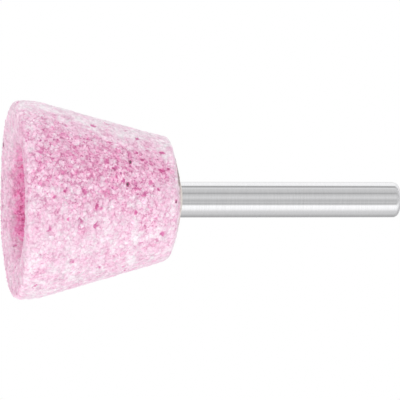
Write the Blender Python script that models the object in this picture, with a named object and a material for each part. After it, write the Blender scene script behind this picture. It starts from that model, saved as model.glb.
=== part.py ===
"""Mounted point: a tapered abrasive stone with a recessed face, cemented on a steel spindle.

The stone stands on the rim of its large face. The origin is the centre of that rim, and +Z runs up
through the stone and along the spindle. Every length is in metres.
"""

import math

import bmesh
import bpy
from mathutils import Vector

# Stone, outside: a truncated cone with its large end down and a crowned small end, the neck. The
# cone's side eases to upright above the rim, along a large arc, and a small rounding leads to the face.
RIM_RADIUS = 0.01739
RIM_EASING_RADIUS = 0.0163
RIM_ROUNDING = 0.0011
NECK_RADIUS = 0.01029
NECK_HEIGHT = 0.02567
NECK_ROUNDING = 0.001
CROWN_RISE = 0.0022

# Stone, large face: a narrow flat land, a shallow dish inside it and a deep recess in the middle
LAND_WIDTH = 0.0011
DISH_DEPTH = 0.0007
RECESS_RADIUS = 0.0094
RECESS_DEPTH = 0.0072
RECESS_DRAFT = math.radians(4)
RECESS_LIP_ROUNDING = 0.0009
RECESS_ROOT_ROUNDING = 0.002
WEB_THICKNESS = 0.0038

# Spindle: a ground pin, rounded at its free end and grooved at its buried end
SPINDLE_RADIUS = 0.003
SPINDLE_REACH = 0.0401
SPINDLE_END_ROUNDING = 0.0011
SPINDLE_FOOT_CHAMFER = 0.0005
KEY_GROOVES = 3
KEY_GROOVE_WIDTH = 0.0012
KEY_GROOVE_DEPTH = 0.0005
KEY_GROOVE_PITCH = 0.0026
FIRST_GROOVE_HEIGHT = 0.0016

# Cement: a closed sleeve round the buried end, flared at its mouth into a ring flush with the crown
CEMENT_WALL = 0.0009
CEMENT_FLOOR = 0.0008
CEMENT_FLARE = 0.001
CEMENT_MENISCUS = 0.0002
MOUTH_ANGLE = math.radians(35)

# Gap kept between neighbouring pieces, as the width of a bond line
SEAT_GAP = 0.0003

# Facets round the axis, and the turn from one point of a rounding to the next
STONE_FACETS = 96
SPINDLE_FACETS = 48
ROUNDING_STEP = math.radians(15)
EASING_STEP = math.radians(4)
CROWN_STEPS = 4
WELD_DISTANCE = 1e-6
SHARP_EDGE = math.radians(35)

# Sizes that follow from the ones above
CONE_SLOPE = math.atan((RIM_RADIUS - NECK_RADIUS) / NECK_HEIGHT)
CROWN_RADIUS = (NECK_RADIUS**2 + CROWN_RISE**2) / (2 * CROWN_RISE)
CROWN_CENTRE = NECK_HEIGHT + CROWN_RISE - CROWN_RADIUS
SLEEVE_BORE_RADIUS = SPINDLE_RADIUS + SEAT_GAP
SLEEVE_RADIUS = SLEEVE_BORE_RADIUS + CEMENT_WALL
SEAT_RADIUS = SLEEVE_RADIUS + SEAT_GAP
RING_RADIUS = SLEEVE_RADIUS + CEMENT_FLARE
MOUTH_RADIUS = RING_RADIUS + SEAT_GAP / math.cos(MOUTH_ANGLE)
SEAT_FLOOR = RECESS_DEPTH + WEB_THICKNESS
SLEEVE_FOOT = SEAT_FLOOR + SEAT_GAP
SLEEVE_FLOOR = SLEEVE_FOOT + CEMENT_FLOOR
SPINDLE_FOOT = SLEEVE_FLOOR + SEAT_GAP
SPINDLE_TOP = NECK_HEIGHT + SPINDLE_REACH


def point(radius, height):
    """A point of a turned outline."""
    return Vector((radius, height))


def crown_height(radius):
    """Height of the stone's crowned end at a distance from the axis."""
    return CROWN_CENTRE + math.sqrt(CROWN_RADIUS**2 - radius**2)


def mouth_root_height():
    """Height at which the seat's straight wall opens into its flared mouth."""
    return crown_height(MOUTH_RADIUS) - (MOUTH_RADIUS - SEAT_RADIUS) / math.tan(MOUTH_ANGLE)


def arc(centre, radius, start, sweep, step_angle=ROUNDING_STEP):
    """Points along an arc, both ends included, with angles counted from the outward direction."""
    steps = max(2, round(abs(sweep) / step_angle))
    angles = [start + sweep * step / steps for step in range(steps + 1)]
    return [centre + radius * Vector((math.cos(angle), math.sin(angle))) for angle in angles]


def direction_angle(vector):
    """Angle of a direction in the outline's plane."""
    return math.atan2(vector.y, vector.x)


def rounded_corner(before, corner, after, radius):
    """Arc that rounds the corner between two straight stretches of an outline."""
    back = (before - corner).normalized()
    onward = (after - corner).normalized()
    half_angle = back.angle(onward) / 2
    centre = corner + (back + onward).normalized() * radius / math.sin(half_angle)
    tangent_length = radius / math.tan(half_angle)
    start = direction_angle(corner + back * tangent_length - centre)
    end = direction_angle(corner + onward * tangent_length - centre)
    sweep = (end - start + math.pi) % (2 * math.pi) - math.pi
    return arc(centre, radius, start, sweep)


def neck_rounding():
    """Arc that blends the crowned end into the cone, from the crown down to the cone's side."""
    upward = Vector((-math.sin(CONE_SLOPE), math.cos(CONE_SLOPE)))
    outward = Vector((math.cos(CONE_SLOPE), math.sin(CONE_SLOPE)))
    inset = point(RIM_RADIUS, 0) - outward * NECK_ROUNDING
    crown = point(0, CROWN_CENTRE)
    from_crown = inset - crown
    middle = from_crown.dot(upward)
    reach = CROWN_RADIUS - NECK_ROUNDING
    along = -middle + math.sqrt(middle**2 - from_crown.length_squared + reach**2)
    centre = inset + upward * along
    start = direction_angle(centre - crown)
    return arc(centre, NECK_ROUNDING, start, CONE_SLOPE - start)


def rim_rounding():
    """Two arcs from the cone's side to the face: a large one to the widest point, then a small one."""
    easing_height = RIM_ROUNDING + RIM_EASING_RADIUS * math.sin(CONE_SLOPE)
    easing_radius = RIM_RADIUS - easing_height * math.tan(CONE_SLOPE)
    easing_centre = point(easing_radius - RIM_EASING_RADIUS * math.cos(CONE_SLOPE), RIM_ROUNDING)
    corner_centre = point(easing_centre.x + RIM_EASING_RADIUS - RIM_ROUNDING, RIM_ROUNDING)
    easing = arc(easing_centre, RIM_EASING_RADIUS, CONE_SLOPE, -CONE_SLOPE, EASING_STEP)
    corner = arc(corner_centre, RIM_ROUNDING, 0, -math.pi / 2)
    return easing[:-1] + corner


def crown_points(inner_radius, outer_radius):
    """Points along the crowned end from one radius out to another, the outer one left out."""
    step = (outer_radius - inner_radius) / CROWN_STEPS
    radii = [inner_radius + step * index for index in range(CROWN_STEPS)]
    return [point(radius, crown_height(radius)) for radius in radii]


def stone_outline():
    """Outline of the stone from the floor of the spindle's seat, round the outside, to the recess."""
    neck = neck_rounding()
    rim = rim_rounding()
    land_inner = point(rim[-1].x - LAND_WIDTH, 0)
    lip_corner = point(RECESS_RADIUS, DISH_DEPTH)
    root_radius = RECESS_RADIUS - (RECESS_DEPTH - DISH_DEPTH) * math.tan(RECESS_DRAFT)
    root_corner = point(root_radius, RECESS_DEPTH)
    recess_centre = point(0, RECESS_DEPTH)
    return [
        point(0, SEAT_FLOOR),
        point(SEAT_RADIUS, SEAT_FLOOR),
        point(SEAT_RADIUS, mouth_root_height()),
        *crown_points(MOUTH_RADIUS, neck[0].x),
        *neck,
        *rim,
        land_inner,
        *rounded_corner(land_inner, lip_corner, root_corner, RECESS_LIP_ROUNDING),
        *rounded_corner(lip_corner, root_corner, recess_centre, RECESS_ROOT_ROUNDING),
        recess_centre,
    ]


def keyed_side(gap):
    """Grooved side of the spindle's buried end, from its foot upwards, set back by a gap."""
    outer = SPINDLE_RADIUS + gap
    inner = outer - KEY_GROOVE_DEPTH
    side = []
    for groove in range(KEY_GROOVES):
        low = SPINDLE_FOOT + FIRST_GROOVE_HEIGHT + groove * KEY_GROOVE_PITCH + gap
        high = low + KEY_GROOVE_WIDTH - 2 * gap
        side += [point(outer, low), point(inner, low), point(inner, high), point(outer, high)]
    return side


def spindle_outline():
    """Outline of the spindle from the middle of its buried end to the middle of its free end."""
    top_corner = point(SPINDLE_RADIUS, SPINDLE_TOP)
    top_centre = point(0, SPINDLE_TOP)
    side = keyed_side(0)
    return [
        point(0, SPINDLE_FOOT),
        point(SPINDLE_RADIUS - SPINDLE_FOOT_CHAMFER, SPINDLE_FOOT),
        point(SPINDLE_RADIUS, SPINDLE_FOOT + SPINDLE_FOOT_CHAMFER),
        *side,
        *rounded_corner(side[-1], top_corner, top_centre, SPINDLE_END_ROUNDING),
        top_centre,
    ]


def cement_outline():
    """Outline of the cement from the middle of its floor, up inside the sleeve and down its outside."""
    flare_root = mouth_root_height() + SEAT_GAP * math.tan(MOUTH_ANGLE / 2)
    return [
        point(0, SLEEVE_FLOOR),
        point(SLEEVE_BORE_RADIUS, SLEEVE_FLOOR),
        *keyed_side(SEAT_GAP),
        point(SLEEVE_BORE_RADIUS, crown_height(SLEEVE_BORE_RADIUS) + CEMENT_MENISCUS),
        point(RING_RADIUS, crown_height(RING_RADIUS)),
        point(SLEEVE_RADIUS, flare_root),
        point(SLEEVE_RADIUS, SLEEVE_FOOT),
        point(0, SLEEVE_FOOT),
    ]


def plain_material(name, colour, roughness, metallic):
    """Surface of one piece."""
    material = bpy.data.materials.new(name)
    material.use_nodes = True
    surface = material.node_tree.nodes["Principled BSDF"]
    surface.inputs["Base Color"].default_value = (*colour, 1)
    surface.inputs["Roughness"].default_value = roughness
    surface.inputs["Metallic"].default_value = metallic
    return material


def turned_piece(name, outline, facets, material):
    """Spin an outline of radii and heights once round the Z axis into a closed solid."""
    shape = bmesh.new()
    corners = [shape.verts.new((corner.x, 0, corner.y)) for corner in outline]
    edges = [shape.edges.new(pair) for pair in zip(corners, corners[1:])]
    bmesh.ops.spin(
        shape,
        geom=corners + edges,
        cent=(0, 0, 0),
        axis=(0, 0, 1),
        angle=2 * math.pi,
        steps=facets,
        use_merge=True,
    )
    bmesh.ops.remove_doubles(shape, verts=shape.verts, dist=WELD_DISTANCE)
    bmesh.ops.recalc_face_normals(shape, faces=shape.faces)
    mesh = bpy.data.meshes.new(name)
    shape.to_mesh(mesh)
    shape.free()
    mesh.shade_smooth()
    mesh.set_sharp_from_angle(angle=SHARP_EDGE)
    mesh.materials.append(material)
    piece = bpy.data.objects.new(name, mesh)
    bpy.context.scene.collection.objects.link(piece)
    return piece


def abrasive_stone():
    """Pressed and fired pink stone, with the blind seat for the spindle in its crowned end."""
    pink = plain_material("PinkAluminiumOxide", (0.84, 0.55, 0.69), 0.75, 0.0)
    return turned_piece("abrasive_stone", stone_outline(), STONE_FACETS, pink)


def spindle():
    """Ground steel spindle."""
    steel = plain_material("GroundSteel", (0.62, 0.62, 0.63), 0.28, 1.0)
    return turned_piece("spindle", spindle_outline(), SPINDLE_FACETS, steel)


def bond_cement():
    """Beige cement that fills the seat round the spindle."""
    beige = plain_material("BondCement", (0.60, 0.52, 0.44), 0.65, 0.0)
    return turned_piece("bond_cement", cement_outline(), SPINDLE_FACETS, beige)


for old in list(bpy.data.objects):
    bpy.data.objects.remove(old, do_unlink=True)

abrasive_stone()
spindle()
bond_cement()
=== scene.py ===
import math

import bpy
from mathutils import Matrix, Vector, noise


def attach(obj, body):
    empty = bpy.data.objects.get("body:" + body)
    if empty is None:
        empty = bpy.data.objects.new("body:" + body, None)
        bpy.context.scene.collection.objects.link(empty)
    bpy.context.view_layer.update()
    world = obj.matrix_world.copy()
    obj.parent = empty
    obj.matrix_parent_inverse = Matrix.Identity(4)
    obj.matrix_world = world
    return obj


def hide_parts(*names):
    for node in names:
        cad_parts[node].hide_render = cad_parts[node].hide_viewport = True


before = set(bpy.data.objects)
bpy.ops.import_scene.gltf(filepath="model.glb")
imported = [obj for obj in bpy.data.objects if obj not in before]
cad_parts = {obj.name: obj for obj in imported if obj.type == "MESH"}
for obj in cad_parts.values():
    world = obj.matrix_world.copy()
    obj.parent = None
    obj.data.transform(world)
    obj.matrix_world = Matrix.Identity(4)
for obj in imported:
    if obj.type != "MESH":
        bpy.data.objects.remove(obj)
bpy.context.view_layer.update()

# The abrasive stone: coarse pink aluminium oxide grains in a glassy bond, pressed and fired in one
# piece, pinker on one side, partly its own tone and partly painted shade. Its grains stand between
# seams, and some were torn out or are stained. The recess is painted deeper pink, darker with depth,
# as painted shade in the hollow, and cement was wiped over the crown.
RIM_RADIUS = 17.39
RIM_EASING_RADIUS = 16.3
RIM_ROUNDING = 1.1
NECK_RADIUS = 10.29
NECK_HEIGHT = 25.67
NECK_ROUNDING = 1.0
CROWN_RISE = 2.2
LAND_WIDTH = 1.1
DISH_DEPTH = 0.7
RECESS_RADIUS = 9.4
RECESS_DEPTH = 7.2
RECESS_FLOOR_RADIUS = 8.95
RECESS_LIP_ROUNDING = 0.9
RECESS_ROOT_ROUNDING = 2.0
SEAT_RADIUS = 4.5
SEAT_FLOOR = 11.0
SKIN_SPACING = 0.2
RECESS_SPACING = 0.3
SEAT_SPACING = 0.9
GRAIN_SIZE = 0.85
CHIP_SIZE = 0.36
SEAM_DEPTH = 0.1
PROUD_HEIGHT = 0.08
SUNK_DEPTH = 0.09
PORE_DEPTH = 0.22
SPECK_SPACING = 1.1
SPECK_RADIUS = 0.23
BLUSH_TURN = -37
BLUSH_DRIFT = 0.85
BLUSH_SPREAD = 28
WASH_RADIUS = 6.8
SMEAR_TURN = -36
SMEAR_SPREAD = 30
NECK_WEAR = 0.13
NECK_WEAR_SPREAD = 1.4
RIM_FULLNESS = 0.2
RIM_WEAR_SPREAD = 0.9
RELIEF_ALLOWANCE = 0.08
STAINED_GRAINS = [
    (-29, 17.9, 0.27, 0.36, 2.3),
    (-11, 17.2, 0.25, 0.38, 2.1),
    (2, 25.6, 0.30, 0.30, 2.1),
    (-141, -2.6, 0.80, 0.35, 1.7),
    (-44, 23.7, 0.42, 0.28, 1.1),
    (-25, 23.2, 0.60, 0.30, 1.0),
    (-27, 24.5, 0.22, 0.25, 1.5),
    (-32.5, 20.0, 0.32, 0.22, 1.3),
    (-38.5, 19.2, 0.20, 0.40, 0.9),
    (-22.5, 14.9, 0.28, 0.28, 1.3),
    (-27, 13.8, 0.45, 0.50, 0.6),
    (-14, 16.5, 0.22, 0.40, 1.2),
    (-16, 15.3, 0.22, 0.25, 1.1),
    (-13.5, 21.1, 0.40, 0.40, 0.7),
    (-8, 18.8, 0.80, 0.25, 0.6),
    (-3, 20.0, 0.60, 0.25, 0.6),
    (-8, 22.4, 0.25, 0.25, 1.3),
    (4.5, 11.8, 0.30, 0.55, 0.8),
    (6, 12.5, 0.45, 0.25, 0.6),
    (10, 18.5, 0.25, 0.42, 0.9),
    (-43, 11.0, 0.28, 0.20, 1.2),
    (-5.5, 9.6, 0.32, 0.24, 1.3),
    (-5, 6.3, 0.26, 0.26, 1.0),
    (-1.5, 4.5, 0.34, 0.24, 0.8),
    (12, 6.9, 0.22, 0.32, 0.8),
]
FIRED_PATCHES = [
    (-8, 1.2, 0.30),
    (17, 0.2, 0.12),
    (-12, 5.0, 0.22),
    (3, 8.0, 0.30),
    (17, 21.8, 0.25),
    (-17, 8.2, 0.12),
    (-3, 21.8, -0.35),
    (-14, 21.8, -0.18),
    (31, 1.6, -0.12),
    (42, 8.6, -0.20),
    (-38, 21.4, 0.05),
    (-34, 11.2, -0.30),
    (-30, 0.6, -0.20),
    (12, 4.5, -0.20),
    (-46, 15.0, 0.20),
    (-25, 21.0, -0.20),
    (-8, 24.6, -0.25),
]
PATCH_SPREAD = 1.7
RECESS_SHADE_REACH = 3.5
BLOTCH_START = Vector((2.7, 17.6, 8.4))
MILLIMETRE = 0.001

CONE_SLOPE = math.atan((RIM_RADIUS - NECK_RADIUS) / NECK_HEIGHT)
CROWN_RADIUS = (NECK_RADIUS**2 + CROWN_RISE**2) / (2 * CROWN_RISE)
CROWN_CENTRE = NECK_HEIGHT + CROWN_RISE - CROWN_RADIUS


def point(radius, height):
    """A point of a turned outline, in millimetres."""
    return Vector((radius, height))


def arc(centre, radius, start, sweep):
    """Points along an arc, with angles counted from the outward direction."""
    steps = max(2, math.ceil(abs(sweep) * radius / 0.15))
    angles = [start + sweep * step / steps for step in range(steps + 1)]
    return [centre + radius * Vector((math.cos(angle), math.sin(angle))) for angle in angles]


def rounded_corner(before, corner, after, radius):
    """Arc that rounds the corner between two straight stretches of an outline."""
    back = (before - corner).normalized()
    onward = (after - corner).normalized()
    half_angle = back.angle(onward) / 2
    centre = corner + (back + onward).normalized() * radius / math.sin(half_angle)
    tangent_length = radius / math.tan(half_angle)
    to_start = corner + back * tangent_length - centre
    to_end = corner + onward * tangent_length - centre
    start = math.atan2(to_start.y, to_start.x)
    sweep = math.atan2(to_end.y, to_end.x) - start
    return arc(centre, radius, start, (sweep + math.pi) % (2 * math.pi) - math.pi)


def crown_height(radius):
    """Height of the stone's crowned end at a distance from the axis."""
    return CROWN_CENTRE + math.sqrt(CROWN_RADIUS**2 - radius**2)


def neck_rounding():
    """Arc that blends the crowned end into the cone."""
    upward = Vector((-math.sin(CONE_SLOPE), math.cos(CONE_SLOPE)))
    outward = Vector((math.cos(CONE_SLOPE), math.sin(CONE_SLOPE)))
    inset = point(RIM_RADIUS, 0) - outward * NECK_ROUNDING
    crown = point(0, CROWN_CENTRE)
    middle = (inset - crown).dot(upward)
    reach = CROWN_RADIUS - NECK_ROUNDING
    along = -middle + math.sqrt(middle**2 - (inset - crown).length_squared + reach**2)
    centre = inset + upward * along
    start = math.atan2(centre.y - crown.y, centre.x)
    return arc(centre, NECK_ROUNDING, start, CONE_SLOPE - start)


def rim_rounding():
    """A large arc from the cone's side to the widest point, then a small one to the face."""
    easing_height = RIM_ROUNDING + RIM_EASING_RADIUS * math.sin(CONE_SLOPE)
    easing_radius = RIM_RADIUS - easing_height * math.tan(CONE_SLOPE)
    centre = point(easing_radius - RIM_EASING_RADIUS * math.cos(CONE_SLOPE), RIM_ROUNDING)
    corner_centre = point(centre.x + RIM_EASING_RADIUS - RIM_ROUNDING, RIM_ROUNDING)
    easing = arc(centre, RIM_EASING_RADIUS, CONE_SLOPE, -CONE_SLOPE)
    return easing[:-1] + arc(corner_centre, RIM_ROUNDING, 0, -math.pi / 2)


def evenly_spaced(outline, spacing):
    """The same outline with its points one spacing apart."""
    lengths = [(end - start).length for start, end in zip(outline, outline[1:])]
    count = max(1, round(sum(lengths) / spacing))
    spaced = []
    travelled = 0.0
    index = 0
    for step in range(count):
        target = sum(lengths) * step / count
        while travelled + lengths[index] < target:
            travelled += lengths[index]
            index += 1
        spaced.append(outline[index].lerp(outline[index + 1], (target - travelled) / lengths[index]))
    return spaced


def stitched(first, second):
    """Triangles that join two closed rings of points, given as their first index, count and turn."""
    (start_a, count_a, turn_a), (start_b, count_b, turn_b) = first, second
    shift = round((turn_a - turn_b) / (2 * math.pi) * count_b)
    triangles = []
    a = b = 0
    while a < count_a or b < count_b:
        corner_a = start_a + a % count_a
        corner_b = start_b + (b + shift) % count_b
        if b >= count_b or (a < count_a and (a + 1) / count_a <= (b + 1) / count_b):
            if count_a > 1:
                triangles.append((corner_a, corner_b, start_a + (a + 1) % count_a))
            a += 1
        else:
            if count_b > 1:
                triangles.append((corner_a, corner_b, start_b + (b + 1 + shift) % count_b))
            b += 1
    return triangles


def ring_skin(stretches):
    """Points and triangles of a turned skin whose rings carry as many points as their girth needs."""
    points = []
    rings = []
    for outline, spacing in stretches:
        for place in outline:
            count = max(1, round(2 * math.pi * place.x / spacing))
            turn = len(rings) * 2.39996
            rings.append((len(points), count, turn))
            angles = [turn + 2 * math.pi * step / count for step in range(count)]
            points += [Vector((place.x * math.cos(a), place.x * math.sin(a), place.y)) for a in angles]
    triangles = []
    for lower, upper in zip(rings, rings[1:]):
        triangles += stitched(lower, upper)
    return points, triangles


def stone_stretches():
    """The outline from the seat's floor, over the crown, down the cone, to the recess's middle."""
    neck = neck_rounding()
    crown = [point(radius, crown_height(radius)) for radius in
             (SEAT_RADIUS + (neck[0].x - SEAT_RADIUS) * step / 12 for step in range(12))]
    rim = rim_rounding()
    land_inner = point(rim[-1].x - LAND_WIDTH, 0)
    lip = point(RECESS_RADIUS, DISH_DEPTH)
    root = point(RECESS_FLOOR_RADIUS, RECESS_DEPTH)
    middle = point(0, RECESS_DEPTH)
    lip_arc = rounded_corner(land_inner, lip, root, RECESS_LIP_ROUNDING)
    seat = [point(0, SEAT_FLOOR), point(SEAT_RADIUS, SEAT_FLOOR), crown[0]]
    outside = [*crown, *neck, *rim, land_inner, *lip_arc]
    recess = [lip_arc[-1], *rounded_corner(lip, root, middle, RECESS_ROOT_ROUNDING), middle]
    return [
        (evenly_spaced(seat, SEAT_SPACING), SEAT_SPACING),
        (evenly_spaced(outside, SKIN_SPACING), SKIN_SPACING),
        (evenly_spaced(recess, RECESS_SPACING) + [middle], RECESS_SPACING),
    ]


def smooth_step(low, high, value):
    """Zero below the low value, one above the high one and eased between them."""
    share = min(1.0, max(0.0, (value - low) / (high - low)))
    return share * share * (3 - 2 * share)


def blush_at(place):
    """How deep the pink is: pinker round one side in soft clouds, paler beside it and at neck and rim;
    partly own tone, partly painted shade and highlight.
    """
    turn = math.degrees(math.atan2(place.x, -place.y)) - BLUSH_TURN - BLUSH_DRIFT * place.z
    side = math.exp(-(turn / BLUSH_SPREAD) ** 2)
    clouds = 0.1 * noise.noise(place / 4.0) + 0.28 * noise.noise(place / 2.0)
    clouds += 0.1 * noise.noise(place / 1.2)
    # Paler places beside the pinker side, at the neck and at the rim: partly painted highlight where light
    # grazes the edges.
    pale_side = 0.27 * smooth_step(12, 35, -turn) * smooth_step(-130, -80, turn)
    pale_neck = 0.5 * side * smooth_step(22.5, 25.5, place.z)
    pale_rim = 0.3 * side * smooth_step(4.5, 1.5, place.z)
    pale = pale_side + pale_neck + pale_rim
    return 0.62 + 0.72 * side + clouds - pale + fired_patches(place) + face_shade_and_streaks(place)


def fired_patches(place):
    """The deeper and paler patches of a few millimetres that show most on the side facing the camera."""
    radius = math.hypot(place.x, place.y)
    change = 0.0
    for turn, height, deeper in FIRED_PATCHES:
        across = (math.atan2(place.x, -place.y) - math.radians(turn)) * radius
        change += deeper * math.exp(-(across**2 + (place.z - height) ** 2) / PATCH_SPREAD**2)
    return change


def on_face(place):
    """How far a place is on the large face, inside its rounded rim."""
    inside_rim = smooth_step(RIM_RADIUS - 1.0, RIM_RADIUS - 1.7, math.hypot(place.x, place.y))
    return inside_rim * smooth_step(DISH_DEPTH + 0.7, DISH_DEPTH + 0.2, place.z)


def face_shade_and_streaks(place):
    """A deeper pink over the whole large face, painted shade, and the pinker lines that the dressing left
    round it.
    """
    radius = math.hypot(place.x, place.y)
    lines = noise.noise(Vector((radius / 0.6, math.atan2(place.y, place.x) * 1.5, 0)))
    return on_face(place) * (0.20 + 0.22 * lines)


def recess_shade_at(place):
    """How deep the painted shade of the recess is at a place: a deeper pink that grows with depth, in
    blotches.
    """
    radius = math.hypot(place.x, place.y)
    if radius > RECESS_RADIUS + RECESS_SHADE_REACH or place.z > RECESS_DEPTH + 1:
        return 0.0
    blotches = 0.6 * noise.noise(place / 1.8 + BLOTCH_START)
    blotches += 0.7 * noise.noise(place / 0.8 + BLOTCH_START)
    lip = smooth_step(RECESS_RADIUS + 2.4, RECESS_RADIUS - 0.2, radius - 1.6 * blotches)
    wall = smooth_step(1.3, 3.7, place.z + 1.2 * blotches)
    deeper = smooth_step(2.2, 3.4, place.z + 0.6 * blotches)
    return max(0.0, (0.2 * lip + 0.4 * wall + 0.62 * deeper) * (0.5 + blotches))


def wash_at(place):
    """How much cement was wiped over the crowned end at a place: over 0.5 is the dark smear."""
    radius = math.hypot(place.x, place.y)
    if place.z < RECESS_DEPTH + 1 or radius < SEAT_RADIUS:
        return 0.0
    if place.z < NECK_HEIGHT - 1:
        return 0.0
    turn = math.degrees(math.atan2(place.x, -place.y))
    smear = math.exp(-((turn - SMEAR_TURN) / SMEAR_SPREAD) ** 2) + 0.35 * noise.noise(place / 0.9)
    reach = WASH_RADIUS + math.cos(math.radians(turn)) + 1.5 * smear + 0.5 * noise.noise(place / 1.5)
    return smooth_step(reach + 0.4, reach - 0.4, radius) * (0.5 + 0.5 * smooth_step(0.25, 0.75, smear))


def in_seat(place):
    """Whether a place is in the hidden hole that the cement fills."""
    return math.hypot(place.x, place.y) < SEAT_RADIUS + 0.05 and place.z > RECESS_DEPTH + 1


def worn(place):
    """A place of the used skin, rounder at one side of the neck, with an allowance for the relief."""
    radius = math.hypot(place.x, place.y)
    if radius < SEAT_RADIUS + 1:
        return place
    side = place.x / radius
    outward = Vector((place.x / radius, place.y / radius, 0))
    upward = Vector((0, 0, 1))
    at_neck = math.exp(-((radius - NECK_RADIUS) ** 2 + (place.z - NECK_HEIGHT) ** 2) / NECK_WEAR_SPREAD**2)
    at_rim = math.exp(-((radius - RIM_RADIUS) ** 2 + place.z**2) / RIM_WEAR_SPREAD**2) * max(0.0, side)
    moved = place - at_neck * NECK_WEAR * side * (0.75 * outward + 0.66 * upward)
    moved += at_rim * RIM_FULLNESS * (0.7 * outward - 0.7 * upward)
    moved += RELIEF_ALLOWANCE * smooth_step(1.5, 4.0, place.z) * outward
    moved += RELIEF_ALLOWANCE * smooth_step(NECK_HEIGHT - 1, NECK_HEIGHT, place.z) * 0.5 * upward
    moved.z = max(0.0, moved.z)
    return moved


def marks_at(place):
    """How deep a place lies in one of the large stained grains: over 1 is a dark grain."""
    deepest = 0.0
    radius = math.hypot(place.x, place.y)
    level = radius - RIM_RADIUS if on_face(place) else place.z
    for turn, height, length, width, depth in STAINED_GRAINS:
        if abs(level - height) < 2 * length:
            across = (math.atan2(place.x, -place.y) - math.radians(turn)) * radius / width
            way = 1.15 * math.hypot((level - height) / length, across) + 0.6 * noise.noise(place / 0.4)
            deepest = max(deepest, depth * smooth_step(1.3, 0.7, way))
    return deepest


skin_points, skin_triangles = ring_skin(stone_stretches())
skin_points = [worn(place) for place in skin_points]
stone_mesh = bpy.data.meshes.new("stone")
stone_mesh.from_pydata([place * MILLIMETRE for place in skin_points], [], skin_triangles)
if stone_mesh.polygons[0].normal.z < 0:
    stone_mesh.flip_normals()
for title, values in (
    ("blush", [blush_at(place) for place in skin_points]),
    ("recess_shade", [recess_shade_at(place) for place in skin_points]),
    ("cement_wash", [wash_at(place) for place in skin_points]),
    ("stained_grain", [marks_at(place) for place in skin_points]),
    ("face_painted_shade", [on_face(place) for place in skin_points]),
    ("relief_share", [0.0 if in_seat(place) else 1.0 + on_face(place) for place in skin_points]),
):
    stone_mesh.attributes.new(title, "FLOAT", "POINT").data.foreach_set("value", values)
before = stone_mesh.attributes.new("before_relief", "FLOAT_VECTOR", "POINT")
before.data.foreach_set("vector", [length * MILLIMETRE for place in skin_points for length in place])
stone = bpy.data.objects.new("stone", stone_mesh)
bpy.context.scene.collection.objects.link(stone)


def mixed(tree, factor, first, second, kind="MIX"):
    """Two colours, numbers or places mixed; each input is a link or a fixed value."""
    node = tree.nodes.new("ShaderNodeMix")
    node.data_type = "RGBA"
    node.blend_type = kind
    inputs = {socket.name: socket for socket in node.inputs if socket.enabled}
    for title, value in (("Factor", factor), ("A", first), ("B", second)):
        socket = inputs[title]
        if isinstance(value, bpy.types.NodeSocket):
            tree.links.new(value, socket)
        elif isinstance(value, tuple):
            socket.default_value = (*value, 1)
        elif title == "Factor":
            socket.default_value = value
        else:
            socket.default_value = (value, value, value, 1)
    return next(s for s in node.outputs if s.enabled)


def levels(tree, factor, low, high, to_low=0.0, to_high=1.0):
    """A factor stretched from one range to another and held inside it."""
    node = tree.nodes.new("ShaderNodeMapRange")
    tree.links.new(factor, node.inputs["Value"])
    for socket, value in (("From Min", low), ("From Max", high), ("To Min", to_low), ("To Max", to_high)):
        node.inputs[socket].default_value = value
    return node.outputs["Result"]


def cloud(tree, place, size, detail=2.0):
    """Noise whose features are about one size across, in millimetres, as a factor and a colour."""
    node = tree.nodes.new("ShaderNodeTexNoise")
    node.inputs["Scale"].default_value = 1 / (size * MILLIMETRE)
    node.inputs["Detail"].default_value = detail
    tree.links.new(place, node.inputs["Vector"])
    return node.outputs["Fac"], node.outputs["Color"]


def grains(tree, place, size):
    """Irregular grains: three chances of each grain, the way to its seam, and its own slope."""
    bend = cloud(tree, place, 0.7 * size, 3.0)[1]
    bent = mixed(tree, 0.7 * size * MILLIMETRE, place, bend, "LINEAR_LIGHT")
    cell = tree.nodes.new("ShaderNodeTexVoronoi")
    edge = tree.nodes.new("ShaderNodeTexVoronoi")
    edge.feature = "DISTANCE_TO_EDGE"
    for node in (cell, edge):
        node.inputs["Scale"].default_value = 1 / (size * MILLIMETRE)
        tree.links.new(bent, node.inputs["Vector"])
    chances = tree.nodes.new("ShaderNodeSeparateXYZ")
    tree.links.new(cell.outputs["Color"], chances.inputs[0])
    lean = tree.nodes.new("ShaderNodeVectorMath")
    lean.operation = "SUBTRACT"
    tree.links.new(cell.outputs["Color"], lean.inputs[0])
    lean.inputs[1].default_value = (0.5, 0.5, 0.5)
    arm = tree.nodes.new("ShaderNodeVectorMath")
    arm.operation = "SUBTRACT"
    tree.links.new(bent, arm.inputs[0])
    tree.links.new(cell.outputs["Position"], arm.inputs[1])
    slope = tree.nodes.new("ShaderNodeVectorMath")
    slope.operation = "DOT_PRODUCT"
    tree.links.new(lean.outputs[0], slope.inputs[0])
    tree.links.new(arm.outputs[0], slope.inputs[1])
    return [*chances.outputs, edge.outputs["Distance"], slope.outputs["Value"]]


relief = bpy.data.node_groups.new("grain_relief", "GeometryNodeTree")
relief.interface.new_socket("Geometry", in_out="INPUT", socket_type="NodeSocketGeometry")
relief.interface.new_socket("Geometry", in_out="OUTPUT", socket_type="NodeSocketGeometry")
place = relief.nodes.new("GeometryNodeInputPosition").outputs[0]
chance_a, chance_b, _, seam_way, _ = grains(relief, place, GRAIN_SIZE)
groove = levels(relief, seam_way, 0.0, 0.22, -SEAM_DEPTH * MILLIMETRE, 0.0)
inside = levels(relief, seam_way, 0.02, 0.18)
sunk = levels(relief, chance_a, 0.78, 0.8, 0.0, -SUNK_DEPTH * MILLIMETRE)
pore = levels(relief, chance_a, 0.98, 0.985, 0.0, -PORE_DEPTH * MILLIMETRE)
proud = levels(relief, chance_b, 0.0, 1.0, -PROUD_HEIGHT * MILLIMETRE, 0.0)
rise = mixed(relief, 1.0, groove, mixed(relief, 1.0, inside, sunk, "MULTIPLY"), "ADD")
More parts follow.
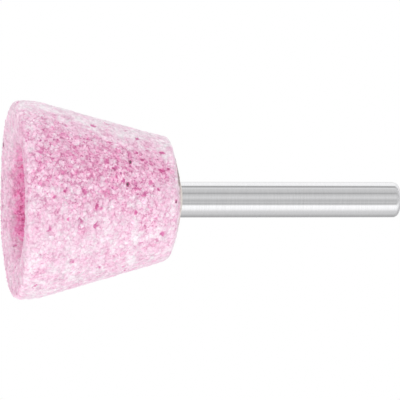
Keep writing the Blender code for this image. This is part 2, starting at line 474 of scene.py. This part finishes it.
rise = mixed(relief, 1.0, rise, mixed(relief, 1.0, inside, pore, "MULTIPLY"), "ADD")
rise = mixed(relief, 1.0, rise, proud, "ADD")
relief_share = relief.nodes.new("GeometryNodeInputNamedAttribute")
relief_share.data_type = "FLOAT"
relief_share.inputs["Name"].default_value = "relief_share"
rise = mixed(relief, 1.0, rise, relief_share.outputs[0], "MULTIPLY")
outward = relief.nodes.new("ShaderNodeVectorMath")
outward.operation = "MULTIPLY"
relief.links.new(relief.nodes.new("GeometryNodeInputNormal").outputs[0], outward.inputs[0])
relief.links.new(rise, outward.inputs[1])
sink = relief.nodes.new("GeometryNodeSetPosition")
relief.links.new(outward.outputs[0], sink.inputs["Offset"])
relief.links.new(relief.nodes.new("NodeGroupInput").outputs[0], sink.inputs["Geometry"])
relief.links.new(sink.outputs["Geometry"], relief.nodes.new("NodeGroupOutput").inputs[0])
stone.modifiers.new("relief", "NODES").node_group = relief
stone_mesh = bpy.data.meshes.new_from_object(stone.evaluated_get(bpy.context.evaluated_depsgraph_get()))
stone.modifiers.clear()
stone.data = stone_mesh
stone_mesh.shade_smooth()


def new_material(name):
    """A material with its node tree and its surface shader."""
    material = bpy.data.materials.new(name)
    material.use_nodes = True
    return material, material.node_tree, material.node_tree.nodes["Principled BSDF"]


def ramp(tree, factor, stops):
    """Colours along a factor, from (position, colour) stops."""
    node = tree.nodes.new("ShaderNodeValToRGB")
    elements = node.color_ramp.elements
    while len(elements) < len(stops):
        elements.new(0.5)
    for element, (position, colour) in zip(elements, stops):
        element.position = position
        element.color = (*colour, 1)
    tree.links.new(factor, node.inputs["Fac"])
    return node.outputs["Color"]


def stored(tree, name, output="Fac"):
    """A value that the mesh carries at its points."""
    node = tree.nodes.new("ShaderNodeAttribute")
    node.attribute_name = name
    return node.outputs[output]


pink, tree, surface = new_material("PinkAluminiumOxide")
place = stored(tree, "before_relief", "Vector")
chance_a, _, chance_c, seam_way, slope = grains(tree, place, GRAIN_SIZE)
chip_a, chip_b, _, chip_way, chip_slope = grains(tree, place, CHIP_SIZE)
small = cloud(tree, place, 0.35, 1.5)[0]
middling = cloud(tree, place, 0.8)[0]
deepness = ramp(tree, chance_c, [
    (0.0, (0.12, 0.12, 0.12)),
    (0.6, (0.175, 0.175, 0.175)),
    (0.85, (0.235, 0.235, 0.235)),
    (1.0, (0.31, 0.31, 0.31)),
])
seam = levels(tree, seam_way, 0.0, 0.11, 0.27, 0.0)
seam = mixed(tree, 1.0, seam, levels(tree, middling, 0.38, 0.65, 0.1, 1.3), "MULTIPLY")
deepness = mixed(tree, 1.0, deepness, seam, "ADD")
patches = cloud(tree, place, 0.95, 4.0)[0]
broad = cloud(tree, place, 2.8)[0]
deepness = mixed(tree, 1.0, deepness, levels(tree, chip_a, 0.0, 1.0, -0.04, 0.04), "ADD")
deepness = mixed(tree, 1.0, deepness, levels(tree, small, 0.3, 0.7, -0.06, 0.08), "ADD")
# The blush carries the pinker side and its paler places: partly the stone's own tone, partly painted shade
# and painted highlight.
blush = stored(tree, "blush")
deepness = mixed(tree, 1.0, deepness, levels(tree, blush, 0.2, 1.5, 0.15, 1.40), "MULTIPLY")
deepness = mixed(tree, 1.0, deepness, levels(tree, blush, 0.4, 2.0, 0.02, 0.12), "ADD")
deepness = mixed(tree, 1.0, deepness, levels(tree, broad, 0.35, 0.65, -0.055, 0.065), "ADD")
deepness = mixed(tree, 1.0, deepness, levels(tree, patches, 0.42, 0.6, 0.05, -0.06), "ADD")
veins = levels(tree, cloud(tree, place, 1.1, 3.0)[0], 0.57, 0.67, 0.0, 0.14)
veins = mixed(tree, 1.0, veins, levels(tree, blush, 0.5, 1.0, 0.3, 1.0), "MULTIPLY")
deepness = mixed(tree, 1.0, deepness, veins, "ADD")
stained = stored(tree, "stained_grain")
deepness = mixed(tree, 1.0, deepness, levels(tree, stained, 0.0, 1.0, 0.0, 0.68), "ADD")
colour = ramp(tree, deepness, [
    (0.0, (0.98, 0.88, 0.94)),
    (0.22, (0.925, 0.59, 0.76)),
    (0.5, (0.80, 0.25, 0.49)),
    (0.75, (0.65, 0.11, 0.34)),
    (1.0, (0.48, 0.03, 0.20)),
])
grain_rim = levels(tree, seam_way, 0.02, 0.10, 1.0, 0.0)
greyness = levels(tree, chip_b, 0.0, 1.0, 0.82, 1.0)
greyness = mixed(tree, 1.0, greyness, levels(tree, chip_way, 0.0, 0.1, 0.88, 1.0), "MULTIPLY")
grain_rim = mixed(tree, 1.0, grain_rim, levels(tree, small, 0.45, 0.6), "MULTIPLY")
grain_rim = mixed(tree, 1.0, grain_rim, levels(tree, blush, 0.6, 1.2, 0.5, 1.0), "MULTIPLY")
greyness = mixed(tree, grain_rim, greyness, (0.70, 0.55, 0.65))
greyness = mixed(tree, levels(tree, blush, 0.55, 1.0, 0.45, 0.0), greyness, (0.82, 0.84, 0.825))
greyness = mixed(tree, levels(tree, stained, 0.3, 0.8), greyness, 1.0)
# The recess: a deeper pink that grows with depth in blotches, painted shade in the hollow; the grey of the
# grains fades out there.
recess_shade = stored(tree, "recess_shade")
deep_recess_shade = mixed(tree, 1.0, recess_shade, levels(tree, patches, 0.4, 0.6, 0.6, 1.4), "MULTIPLY")
deep_recess_shade = mixed(tree, 1.0, deep_recess_shade, levels(tree, small, 0.35, 0.65, 0.4, 1.6), "MULTIPLY")
skin = ramp(tree, deep_recess_shade, [
    (0.0, (1.0, 1.0, 1.0)),
    (0.3, (1.0, 0.62, 0.84)),
    (0.65, (0.92, 0.36, 0.64)),
    (1.0, (0.66, 0.18, 0.40)),
])
colour = mixed(tree, 1.0, colour, skin, "MULTIPLY")
colour = mixed(tree, levels(tree, recess_shade, 0.0, 0.4, 1.0, 0.3), colour, greyness, "MULTIPLY")
# The large face: tinted mauve and darkened, painted shade on the face that turns from the light.
face = stored(tree, "face_painted_shade")
face_shade_tint = mixed(tree, 1.0, face, levels(tree, small, 0.35, 0.65, 0.1, 0.5), "MULTIPLY")
colour = mixed(tree, face_shade_tint, colour, (0.82, 0.53, 0.69))
colour = mixed(tree, face, colour, (0.90, 0.90, 0.89), "MULTIPLY")
shade = levels(tree, cloud(tree, place, 1.3, 3.0)[0], 0.35, 0.65, 0.96, 1.05)
colour = mixed(tree, 1.0, colour, shade, "MULTIPLY")
# Pores: sunk pits with a deep pink painted in, painted shade in the pits.
pore = mixed(tree, 1.0, levels(tree, chance_a, 0.98, 0.985), levels(tree, seam_way, 0.02, 0.18), "MULTIPLY")
colour = mixed(tree, pore, colour, (0.68, 0.16, 0.40))
bent = mixed(tree, 0.15 * MILLIMETRE, place, cloud(tree, place, 0.3, 2.0)[1], "LINEAR_LIGHT")
speck = tree.nodes.new("ShaderNodeTexVoronoi")
speck.inputs["Scale"].default_value = 1 / (SPECK_SPACING * MILLIMETRE)
tree.links.new(bent, speck.inputs["Vector"])
speck_reach = SPECK_RADIUS / SPECK_SPACING
speck_chances = tree.nodes.new("ShaderNodeSeparateXYZ")
tree.links.new(speck.outputs["Color"], speck_chances.inputs[0])
speck_colour = ramp(tree, speck_chances.outputs[0], [
    (0.0, (0.14, 0.06, 0.08)),
    (0.02, (0.44, 0.07, 0.24)),
    (0.4, (0.60, 0.08, 0.34)),
    (1.0, (0.84, 0.34, 0.58)),
])
speck_share = levels(tree, speck.outputs["Distance"], speck_reach, 0.6 * speck_reach)
speck_share = mixed(tree, 1.0, speck_share, levels(tree, blush, 0.65, 1.1, 0.12, 1.0), "MULTIPLY")
colour = mixed(tree, speck_share, colour, speck_colour)
colour = mixed(tree, levels(tree, stained, 1.0, 2.0), colour, (0.07, 0.04, 0.05))
cement_wash = stored(tree, "cement_wash")
wash_colour = ramp(tree, cement_wash, [
    (0.5, (0.66, 0.50, 0.50)),
    (1.0, (0.20, 0.13, 0.12)),
])
colour = mixed(tree, levels(tree, cement_wash, 0.0, 0.5, 0.0, 0.9), colour, wash_colour)
tree.links.new(colour, surface.inputs["Base Color"])
surface.inputs["Roughness"].default_value = 0.42
surface.inputs["IOR"].default_value = 1.77
surface.inputs["Sheen Weight"].default_value = 0.16
surface.inputs["Sheen Roughness"].default_value = 0.25
surface.inputs["Sheen Tint"].default_value = (0.8, 1.0, 0.97, 1)
bump = tree.nodes.new("ShaderNodeBump")
bump.inputs["Strength"].default_value = 0.8
bump.inputs["Distance"].default_value = 1.0
height = mixed(tree, 1.0, slope, 0.5, "MULTIPLY")
height = mixed(tree, 1.0, height, mixed(tree, 1.0, chip_slope, 0.4, "MULTIPLY"), "ADD")
height = mixed(tree, 1.0, height, levels(tree, small, 0.0, 1.0, 0.0, 0.04 * MILLIMETRE), "ADD")
tree.links.new(height, bump.inputs["Height"])
tree.links.new(bump.outputs["Normal"], surface.inputs["Normal"])
stone_mesh.materials.append(pink)
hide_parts("abrasive_stone")
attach(stone, "root")

# The cement: a beige paste poured round the spindle in the stone's seat and wiped off a little above
# the crown, so it stands as a low bead against the steel. The spindle leans slightly in it.
RING_RADIUS = 5.35
RING_DROP = 0.06
FLARE_HEIGHT = 1.4
BEAD_OUTLINE = ((4.6, 0.08), (3.8, 0.12), (3.3, 0.18))
BEAD_TOP = 0.32
SLEEVE_RADIUS = 4.4
SLEEVE_FOOT = 11.1
SLEEVE_FLOOR = 12.2
BORE_START = 14
BORE_CLEARANCE = 0.02
CEMENT_FACETS = 96
NEAR_AXIS = 0.01
SPINDLE_RADIUS = 3.0
LEAN = math.radians(0.409)
LEAN_PIVOT = 12.0
ASIDE = 0.064


def turned(name, outline, facets):
    """A turned mesh from an outline that starts and ends close to the axis, given in millimetres."""
    points = []
    faces = []
    for place in outline:
        angles = [2 * math.pi * step / facets for step in range(facets)]
        points += [Vector((place.x * math.cos(a), place.x * math.sin(a), place.y)) for a in angles]
    for ring in range(len(outline) - 1):
        low = ring * facets
        for step in range(facets):
            onward = (step + 1) % facets
            faces.append((low + step, low + onward, low + facets + onward, low + facets + step))
    mesh = bpy.data.meshes.new(name)
    mesh.from_pydata([place * MILLIMETRE for place in points], [], faces)
    mesh.shade_smooth()
    mesh.set_sharp_from_angle(angle=math.radians(30))
    piece = bpy.data.objects.new(name, mesh)
    bpy.context.scene.collection.objects.link(piece)
    return piece


leaning = (
    Matrix.Translation((ASIDE * MILLIMETRE, 0, LEAN_PIVOT * MILLIMETRE))
    @ Matrix.Rotation(LEAN, 4, "Y")
    @ Matrix.Translation((0, 0, -LEAN_PIVOT * MILLIMETRE))
)
ring_top = crown_height(RING_RADIUS)
bore_radius = SPINDLE_RADIUS + BORE_CLEARANCE
cement = turned("cement", [
    point(NEAR_AXIS, SLEEVE_FOOT),
    point(SLEEVE_RADIUS, SLEEVE_FOOT),
    point(SLEEVE_RADIUS, ring_top - FLARE_HEIGHT),
    point(RING_RADIUS, ring_top - RING_DROP),
    point(RING_RADIUS - 0.15, ring_top + 0.05),
    *(point(radius, crown_height(radius) + rise) for radius, rise in BEAD_OUTLINE),
    point(bore_radius, crown_height(SPINDLE_RADIUS) + BEAD_TOP),
    point(bore_radius, BORE_START),
    point(NEAR_AXIS, SLEEVE_FLOOR),
], CEMENT_FACETS)
beige, tree, surface = new_material("BondCement")
place = tree.nodes.new("ShaderNodeTexCoord").outputs["Object"]
colour = ramp(tree, cloud(tree, place, 0.6, 4.0)[0], [
    (0.3, (0.52, 0.46, 0.43)),
    (0.7, (0.74, 0.68, 0.64)),
])
tree.links.new(colour, surface.inputs["Base Color"])
surface.inputs["Roughness"].default_value = 0.8
cement.data.materials.append(beige)
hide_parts("bond_cement")
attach(cement, "root")

# The spindle: a 6 mm steel pin, turned with grooves at its buried end, rounded at its free end and
# centreless ground all along, so its lines run round it.
SPINDLE_FOOT = 12.4
SPINDLE_TOP = 65.74
SPINDLE_END_ROUNDING = 1.1
SPINDLE_FACETS = 160
FOOT_CHAMFER = 0.5
GROOVE_DEPTH = 0.5
GROOVE_WIDTH = 1.2
GROOVE_HEIGHTS = (14.0, 16.6, 19.2)
SHANK_HEIGHTS = range(25, 62, 4)

spindle_outline = [
    point(NEAR_AXIS, SPINDLE_FOOT),
    point(SPINDLE_RADIUS - FOOT_CHAMFER, SPINDLE_FOOT),
    point(SPINDLE_RADIUS, SPINDLE_FOOT + FOOT_CHAMFER),
]
groove_radius = SPINDLE_RADIUS - GROOVE_DEPTH
for low in GROOVE_HEIGHTS:
    high = low + GROOVE_WIDTH
    spindle_outline += [point(SPINDLE_RADIUS, low), point(groove_radius, low)]
    spindle_outline += [point(groove_radius, high), point(SPINDLE_RADIUS, high)]
shank = [point(SPINDLE_RADIUS, height) for height in SHANK_HEIGHTS]
end_corner = point(SPINDLE_RADIUS, SPINDLE_TOP)
spindle_outline += shank
spindle_outline += rounded_corner(shank[-1], end_corner, point(0, SPINDLE_TOP), SPINDLE_END_ROUNDING)
spindle_outline.append(point(NEAR_AXIS, SPINDLE_TOP))
spindle = turned("ground_spindle", spindle_outline, SPINDLE_FACETS)
spindle.matrix_world = leaning
steel, tree, surface = new_material("GroundSteel")
surface.inputs["Metallic"].default_value = 1
place = tree.nodes.new("ShaderNodeTexCoord").outputs["Object"]
lines_way = tree.nodes.new("ShaderNodeMapping")
lines_way.inputs["Scale"].default_value = (0.06, 0.06, 1.0)
tree.links.new(place, lines_way.inputs["Vector"])
ground_lines = cloud(tree, lines_way.outputs[0], 0.12, 3.0)[0]
colour = ramp(tree, ground_lines, [(0.3, (0.655, 0.655, 0.665)), (0.7, (0.705, 0.705, 0.715))])
tree.links.new(colour, surface.inputs["Base Color"])
along = tree.nodes.new("ShaderNodeSeparateXYZ")
tree.links.new(place, along.inputs[0])
end_start = (SPINDLE_TOP - 1.2) * MILLIMETRE
turned_end = levels(tree, along.outputs["Z"], end_start, end_start + 0.4 * MILLIMETRE)
roughness = mixed(tree, turned_end, levels(tree, ground_lines, 0.3, 0.7, 0.07, 0.11), 0.34)
tree.links.new(roughness, surface.inputs["Roughness"])
spindle.data.materials.append(steel)
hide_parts("spindle")
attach(spindle, "root")

# The studio: a pale floor seen only from above, soft light from all round and the camera. The soft
# light has strips of its own for the matt stone and sharper ones for the steel to mirror.
FLOOR_RADIUS = 1.2
FLOOR_CORNERS = 96
FLOOR_FADE_START = 0.08
FLOOR_FADE_END = 0.8
floor_angles = [2 * math.pi * step / FLOOR_CORNERS for step in range(FLOOR_CORNERS)]
floor_edge = [(FLOOR_RADIUS * math.cos(a), FLOOR_RADIUS * math.sin(a), 0) for a in floor_angles]
floor_mesh = bpy.data.meshes.new("floor")
floor_mesh.from_pydata(floor_edge, [], [range(FLOOR_CORNERS)])
floor = bpy.data.objects.new("floor", floor_mesh)
bpy.context.scene.collection.objects.link(floor)
floor_material, tree, surface = new_material("PaleFloor")
surface.inputs["Base Color"].default_value = (0.86, 0.86, 0.86, 1)
surface.inputs["Roughness"].default_value = 0.9
clear = tree.nodes.new("ShaderNodeBsdfTransparent")
blend = tree.nodes.new("ShaderNodeMixShader")
side = tree.nodes.new("ShaderNodeNewGeometry").outputs["Backfacing"]
place = tree.nodes.new("ShaderNodeTexCoord").outputs["Object"]
length = tree.nodes.new("ShaderNodeVectorMath")
length.operation = "LENGTH"
tree.links.new(place, length.inputs[0])
fade = tree.nodes.new("ShaderNodeMapRange")
fade.interpolation_type = "SMOOTHSTEP"
fade.inputs["From Min"].default_value = FLOOR_FADE_START
fade.inputs["From Max"].default_value = FLOOR_FADE_END
tree.links.new(length.outputs["Value"], fade.inputs["Value"])
most = tree.nodes.new("ShaderNodeMath")
most.operation = "MAXIMUM"
tree.links.new(side, most.inputs[0])
tree.links.new(fade.outputs["Result"], most.inputs[1])
tree.links.new(most.outputs[0], blend.inputs["Fac"])
tree.links.new(surface.outputs["BSDF"], blend.inputs[1])
tree.links.new(clear.outputs["BSDF"], blend.inputs[2])
tree.links.new(blend.outputs["Shader"], tree.nodes["Material Output"].inputs["Surface"])
floor_mesh.materials.append(floor_material)
floor.visible_shadow = False
floor.visible_diffuse = False


def light_strips(tree, around, strips):
    """Light all round the part that changes with the angle, from (degrees, strength) strips."""
    stops = []
    for angle, strength in strips:
        stops.append((((angle - 90) / 360 + 0.5) % 1.0, (strength / 2, strength / 2, strength / 2)))
    return ramp(tree, around, sorted(stops))


world = bpy.data.worlds.new("studio")
bpy.context.scene.world = world
world.use_nodes = True
tree = world.node_tree
background = tree.nodes["Background"]
direction = tree.nodes.new("ShaderNodeTexCoord").outputs["Generated"]
around = tree.nodes.new("ShaderNodeTexGradient")
around.gradient_type = "RADIAL"
tree.links.new(direction, around.inputs["Vector"])
BANDS = [
    (-178, 0.7), (-162, 0.8), (-150, 1.2), (-125, 1.3), (-112, 1.3), (-105, 1.2), (-98, 0.5), (-89, 0.62),
    (-80, 1.03), (-72, 0.84), (-50, 0.77), (-43, 0.52), (-34, 0.77), (-20, 0.91), (-13, 0.96), (3, 0.69),
    (11, 0.71), (17, 0.84), (24, 0.65), (31, 0.78), (36, 1.28), (43, 1.46), (60, 1.34), (67, 1.24),
    (74, 1.04), (84, 0.9), (100, 0.86), (112, 0.75), (125, 0.6), (140, 0.5), (156, 0.8), (168, 1.3),
]
tree.links.new(light_strips(tree, around.outputs["Fac"], BANDS), background.inputs["Color"])
background.inputs["Strength"].default_value = 2.0
SOFT = [
    (-179, 1.0), (-130, 1.2), (-90, 1.32), (-45, 1.18), (-15, 1.2), (20, 1.46), (50, 1.58), (80, 1.6),
    (120, 1.4),
]
soft = tree.nodes.new("ShaderNodeBackground")
tree.links.new(light_strips(tree, around.outputs["Fac"], SOFT), soft.inputs["Color"])
height = tree.nodes.new("ShaderNodeSeparateXYZ")
tree.links.new(direction, height.inputs[0])
tree.links.new(levels(tree, height.outputs["Z"], -1.0, -0.1, 2.6, 1.93), soft.inputs["Strength"])
white = tree.nodes.new("ShaderNodeBackground")
white.inputs["Color"].default_value = (1, 1, 1, 1)
white.inputs["Strength"].default_value = 1.0
ray = tree.nodes.new("ShaderNodeLightPath")
matt = tree.nodes.new("ShaderNodeMixShader")
tree.links.new(ray.outputs["Is Diffuse Ray"], matt.inputs["Fac"])
tree.links.new(background.outputs["Background"], matt.inputs[1])
tree.links.new(soft.outputs["Background"], matt.inputs[2])
choose = tree.nodes.new("ShaderNodeMixShader")
tree.links.new(ray.outputs["Is Camera Ray"], choose.inputs["Fac"])
tree.links.new(matt.outputs["Shader"], choose.inputs[1])
tree.links.new(white.outputs["Background"], choose.inputs[2])
tree.links.new(choose.outputs["Shader"], tree.nodes["World Output"].inputs["Surface"])

VIEW_TURN = math.radians(11.529)
CAMERA_PLACE = Vector((0.0247, -504.099, -71.245)) * MILLIMETRE
LENS = 277.53

ahead = Vector((0, math.cos(VIEW_TURN), math.sin(VIEW_TURN)))
right = Vector((0, -math.sin(VIEW_TURN), math.cos(VIEW_TURN)))
up = Vector((-1, 0, 0))
camera_data = bpy.data.cameras.new("camera")
camera_data.lens = LENS
camera_data.sensor_width = 36
camera_data.clip_start = 0.01
camera_data.clip_end = 10
camera = bpy.data.objects.new("camera", camera_data)
bpy.context.scene.collection.objects.link(camera)
aim = Matrix((right, up, -ahead)).transposed().to_4x4()
camera.matrix_world = leaning @ Matrix.Translation(CAMERA_PLACE) @ aim
bpy.context.scene.camera = camera
bpy.context.scene.view_settings.view_transform = "Standard"
